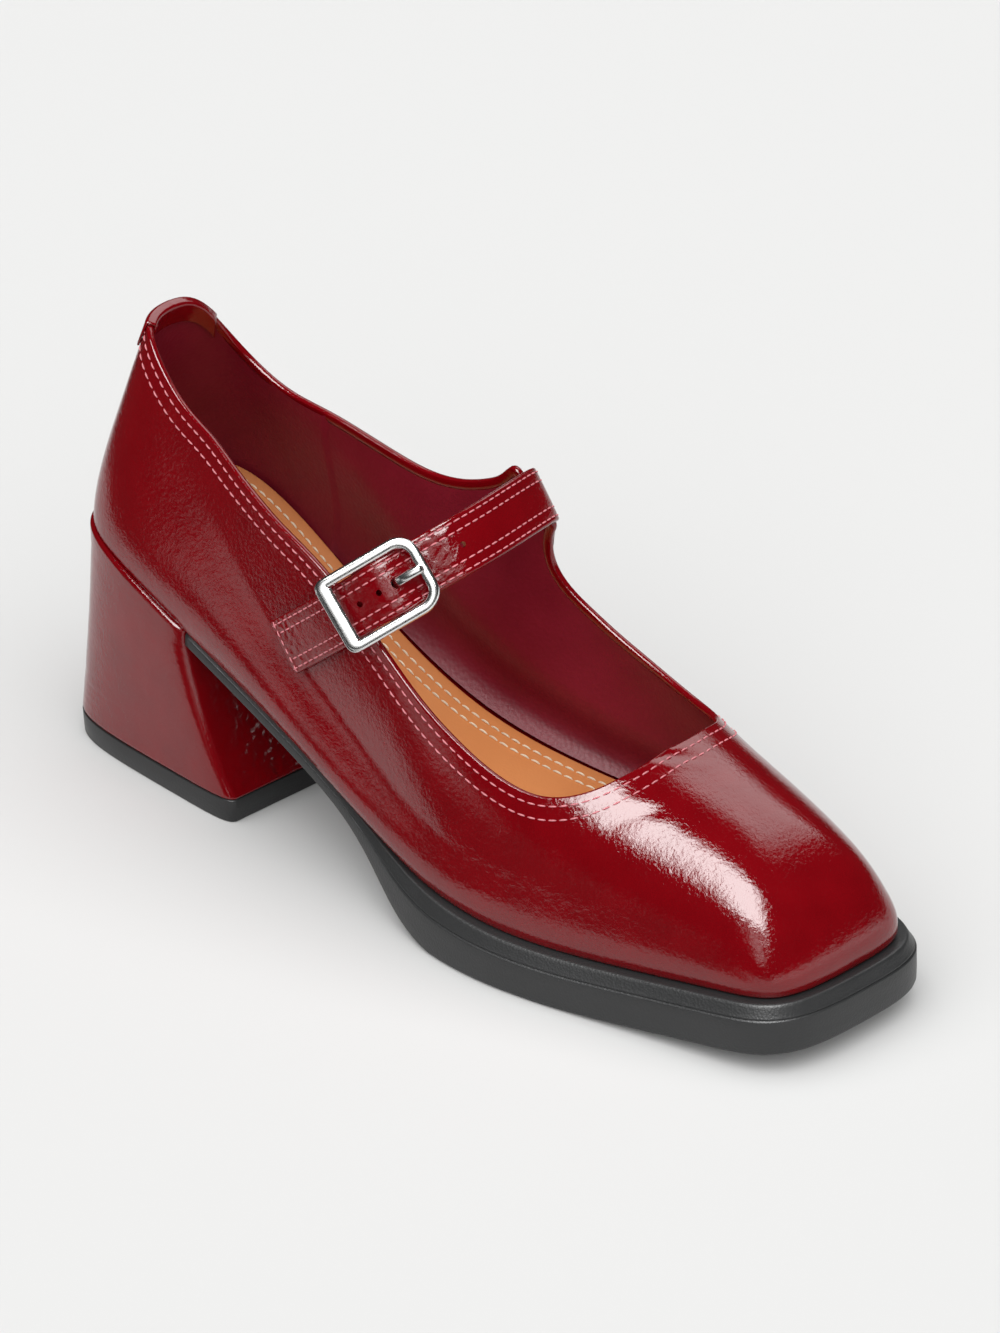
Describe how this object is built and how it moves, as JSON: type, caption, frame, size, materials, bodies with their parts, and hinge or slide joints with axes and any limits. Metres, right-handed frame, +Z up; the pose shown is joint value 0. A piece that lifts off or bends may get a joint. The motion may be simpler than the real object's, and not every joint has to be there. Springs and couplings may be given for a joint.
{
  "type": "mary jane pump",
  "caption": "Right mary jane pump in dark red patent leather, with a square toe, a buckled instep strap, a wrapped block heel and a black moulded sole.",
  "frame": {"origin": "middle of the heel's face on the floor", "axes": "+X forward to the toe, +Y to the inner (medial) side of the foot, +Z up"},
  "size_m": [0.2448, 0.0839, 0.1192],
  "materials": {
    "patent_leather": "glossy patent leather, dark red, finely crinkled",
    "insole_leather": "smooth tan leather",
    "sole_rubber": "satin black moulded rubber",
    "buckle_metal": "polished silver metal"
  },
  "bodies": {
    "root": {"upper": "patent_leather", "back_tab": "patent_leather", "insole": "insole_leather", "outsole": "sole_rubber", "heel_block": "patent_leather", "top_lift": "sole_rubber", "strap": "patent_leather", "buckle_frame": "buckle_metal", "buckle_prong": "buckle_metal", "buckle_tab": "patent_leather"}
  },
  "joints": []
}
